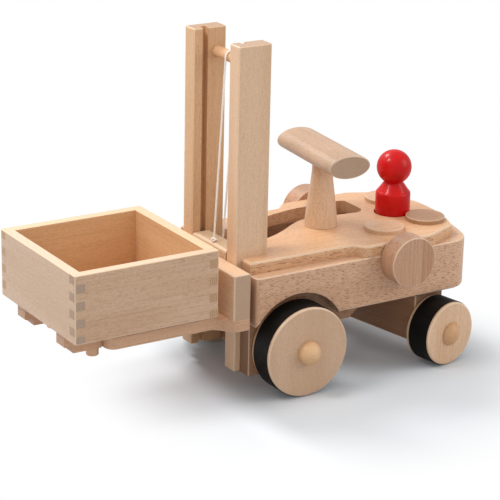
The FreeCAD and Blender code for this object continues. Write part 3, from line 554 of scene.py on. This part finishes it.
def build_cord():
    white = cord_white()
    rod = node_centre("mast_top_rod")
    guide = node_centre("cord_guide_rod")
    wrap = rod_radius("mast_top_rod") + CORD_R
    guide_wrap = rod_radius("cord_guide_rod") + CORD_R
    rod_mid = Vector((TOP_X, rod.y, rod.z))
    guide_mid = Vector((REAR_RUN_X, guide.y, guide.z))

    low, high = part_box("cord_lift_run")
    top = rod_mid + Vector((0, -wrap, 0))
    bottom = Vector((high.x - CORD_R, low.y + CORD_R, low.z))
    front = twisted_cord("cord_front_run", [top, bottom], white)
    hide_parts("cord_lift_run")
    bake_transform(front)

    knot = cord_knot(bottom + Z * KNOT_R * KNOT_LIFT, white)
    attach(knot, "carriage")

    low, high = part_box("cord_coil")
    coil_y, coil_z = (low.y + high.y) / 2, (low.z + high.z) / 2
    coil_r = (high.z - low.z) / 2 - CORD_R
    coil_end = Vector(((low.x + high.x) / 2, coil_y, coil_z - coil_r))
    path = arc_points(rod_mid, wrap, 180, 0)
    path += arc_points(guide_mid, guide_wrap, 180, 270)
    path.append(coil_end)
    back = twisted_cord("cord_back_run", path, white)
    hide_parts("cord_over_mast")
    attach(back, "chassis")

    turns = int((high.x - low.x) / (2 * CORD_R))
    helix = []
    for i in range(turns * COIL_STEPS + 1):
        a = 2 * math.pi * i / COIL_STEPS
        x = low.x + CORD_R + (high.x - low.x - 2 * CORD_R) * i / (turns * COIL_STEPS)
        helix.append(Vector((x, coil_y + coil_r * math.cos(a), coil_z + coil_r * math.sin(a))))
    wound = twisted_cord("cord_turns", helix, white)
    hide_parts("cord_coil")
    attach(wound, "winch")


# ------------------------------------------------------------------ stage, light, camera
FLOOR_BOUNCE = (0.55, 0.55, 0.56, 1.0)
FLOOR_SEEN = (0.66, 0.69, 0.72, 1.0)
FLOOR_GLOW = (0.94, 0.955, 1.0, 1.0)
GLOW_UNDER_BODY = 0.03
GLOW_UNDER_BOX = 0.28
GLOW_CHANGES = (-0.03, -0.07)  # along Y, where the one glow turns into the other
FLOOR_DROP = 0.2 * MM       # the floor lies this far under the tyres
FLOOR_HALF = 30.0
FLOOR_CENTRE = Vector((0.05, 0.06, 0))
FLOOR_FADE = (0.12, 0.235)  # the floor turns plain white between these distances
WORLD_LIGHT = 0.72          # strength of the even light from all round
WORLD_SEEN = 1.2            # strength of the backdrop that the camera sees
LIGHT_TARGET = Vector((0, 0, 0.1))
# place from the target, diameter, watts and colour
LIGHTS = {
    "key_front": ((-0.13, -0.95, 1.45), 0.5, 12.0, (1.0, 0.985, 0.96)),
    "key_side": ((-1.15, -0.24, 1.42), 0.6, 17.0, (1.0, 1.0, 1.0)),
    "fill_rear": ((1.0, 1.25, 0.75), 1.0, 6.0, (1.0, 1.0, 1.0)),
}
CAMERA_PLACE = (1.47337, -0.92711, 0.71629)
CAMERA_AZIMUTH = 57.744     # degrees
CAMERA_ELEVATION = 19.205
CAMERA_ROLL = 1.235
CAMERA_LENS = 150.18        # mm
SENSOR_WIDTH = 36.0         # mm


def area_light(name, offset, size, power, colour):
    data = bpy.data.lights.new(name, "AREA")
    data.shape = "DISK"
    data.size = size
    data.energy = power
    data.color = colour
    obj = bpy.data.objects.new(name, data)
    obj.location = LIGHT_TARGET + Vector(offset)
    obj.rotation_mode = "QUATERNION"
    obj.rotation_quaternion = (-Vector(offset)).to_track_quat("-Z", "Y")
    bpy.context.scene.collection.objects.link(obj)


def build_floor():
    """White floor: a full surface near the toy, fading to plain white light further out."""
    bm = bmesh.new()
    bmesh.ops.create_grid(bm, x_segments=1, y_segments=1, size=FLOOR_HALF)
    material, g, shader = new_material("floor_white")
    seen = g.node("ShaderNodeLightPath").outputs["Is Camera Ray"]
    g.put(shader.inputs["Base Color"], g.mix(seen, FLOOR_BOUNCE, FLOOR_SEEN))
    shader.inputs["Roughness"].default_value = 0.9
    shader.inputs["Specular IOR Level"].default_value = 0.0
    shader.inputs["Emission Color"].default_value = FLOOR_GLOW
    place = g.node("ShaderNodeTexCoord").outputs["Object"]
    glow = g.ramp(g.dot(place, -Y), *(-y for y in GLOW_CHANGES), GLOW_UNDER_BODY, GLOW_UNDER_BOX)
    g.put(shader.inputs["Emission Strength"], g.math("MULTIPLY", seen, glow))
    distance = g.node("ShaderNodeVectorMath", operation="DISTANCE")
    g.put(distance.inputs[0], place)
    g.put(distance.inputs[1], FLOOR_CENTRE)
    white = g.node("ShaderNodeEmission")
    fade = g.node("ShaderNodeMixShader")
    g.put(fade.inputs["Fac"], g.math("MULTIPLY", seen, g.ramp(distance.outputs["Value"], *FLOOR_FADE)))
    g.put(fade.inputs[1], shader.outputs[0])
    g.put(fade.inputs[2], white.outputs[0])
    output = next(n for n in material.node_tree.nodes if n.type == "OUTPUT_MATERIAL")
    g.put(output.inputs["Surface"], fade.outputs[0])
    floor = mesh_object("studio_floor", bm, material)
    floor.location.z = -FLOOR_DROP


def build_stage():
    build_floor()
    world = bpy.data.worlds.new("studio")
    bpy.context.scene.world = world
    world.use_nodes = True
    g = Graph(world.node_tree)
    background = next(n for n in world.node_tree.nodes if n.type == "BACKGROUND")
    seen = g.node("ShaderNodeLightPath").outputs["Is Camera Ray"]
    g.put(background.inputs["Strength"], g.ramp(seen, 0.0, 1.0, WORLD_LIGHT, WORLD_SEEN))
    background.inputs["Color"].default_value = (1, 1, 1, 1)

    for name, light in LIGHTS.items():
        area_light(name, *light)

    scene = bpy.context.scene
    scene.view_settings.view_transform = "Standard"
    scene.view_settings.look = "None"


def build_camera():
    angles = (CAMERA_AZIMUTH, CAMERA_ELEVATION, CAMERA_ROLL)
    azimuth, elevation, roll = (math.radians(a) for a in angles)
    back = Vector((math.sin(azimuth) * math.cos(elevation), -math.cos(azimuth) * math.cos(elevation),
                   math.sin(elevation)))
    right = Vector((math.cos(azimuth), math.sin(azimuth), 0))
    up = back.cross(right)
    across = right * math.cos(roll) + up * math.sin(roll)
    upward = up * math.cos(roll) - right * math.sin(roll)
    data = bpy.data.cameras.new("camera")
    data.sensor_width = SENSOR_WIDTH
    data.lens = CAMERA_LENS
    camera = bpy.data.objects.new("camera", data)
    turn = Matrix((across, upward, back)).transposed().to_4x4()
    camera.matrix_world = Matrix.Translation(CAMERA_PLACE) @ turn
    bpy.context.scene.collection.objects.link(camera)
    bpy.context.scene.camera = camera


finish_cad_pieces()
build_cord()
build_stage()
build_camera()
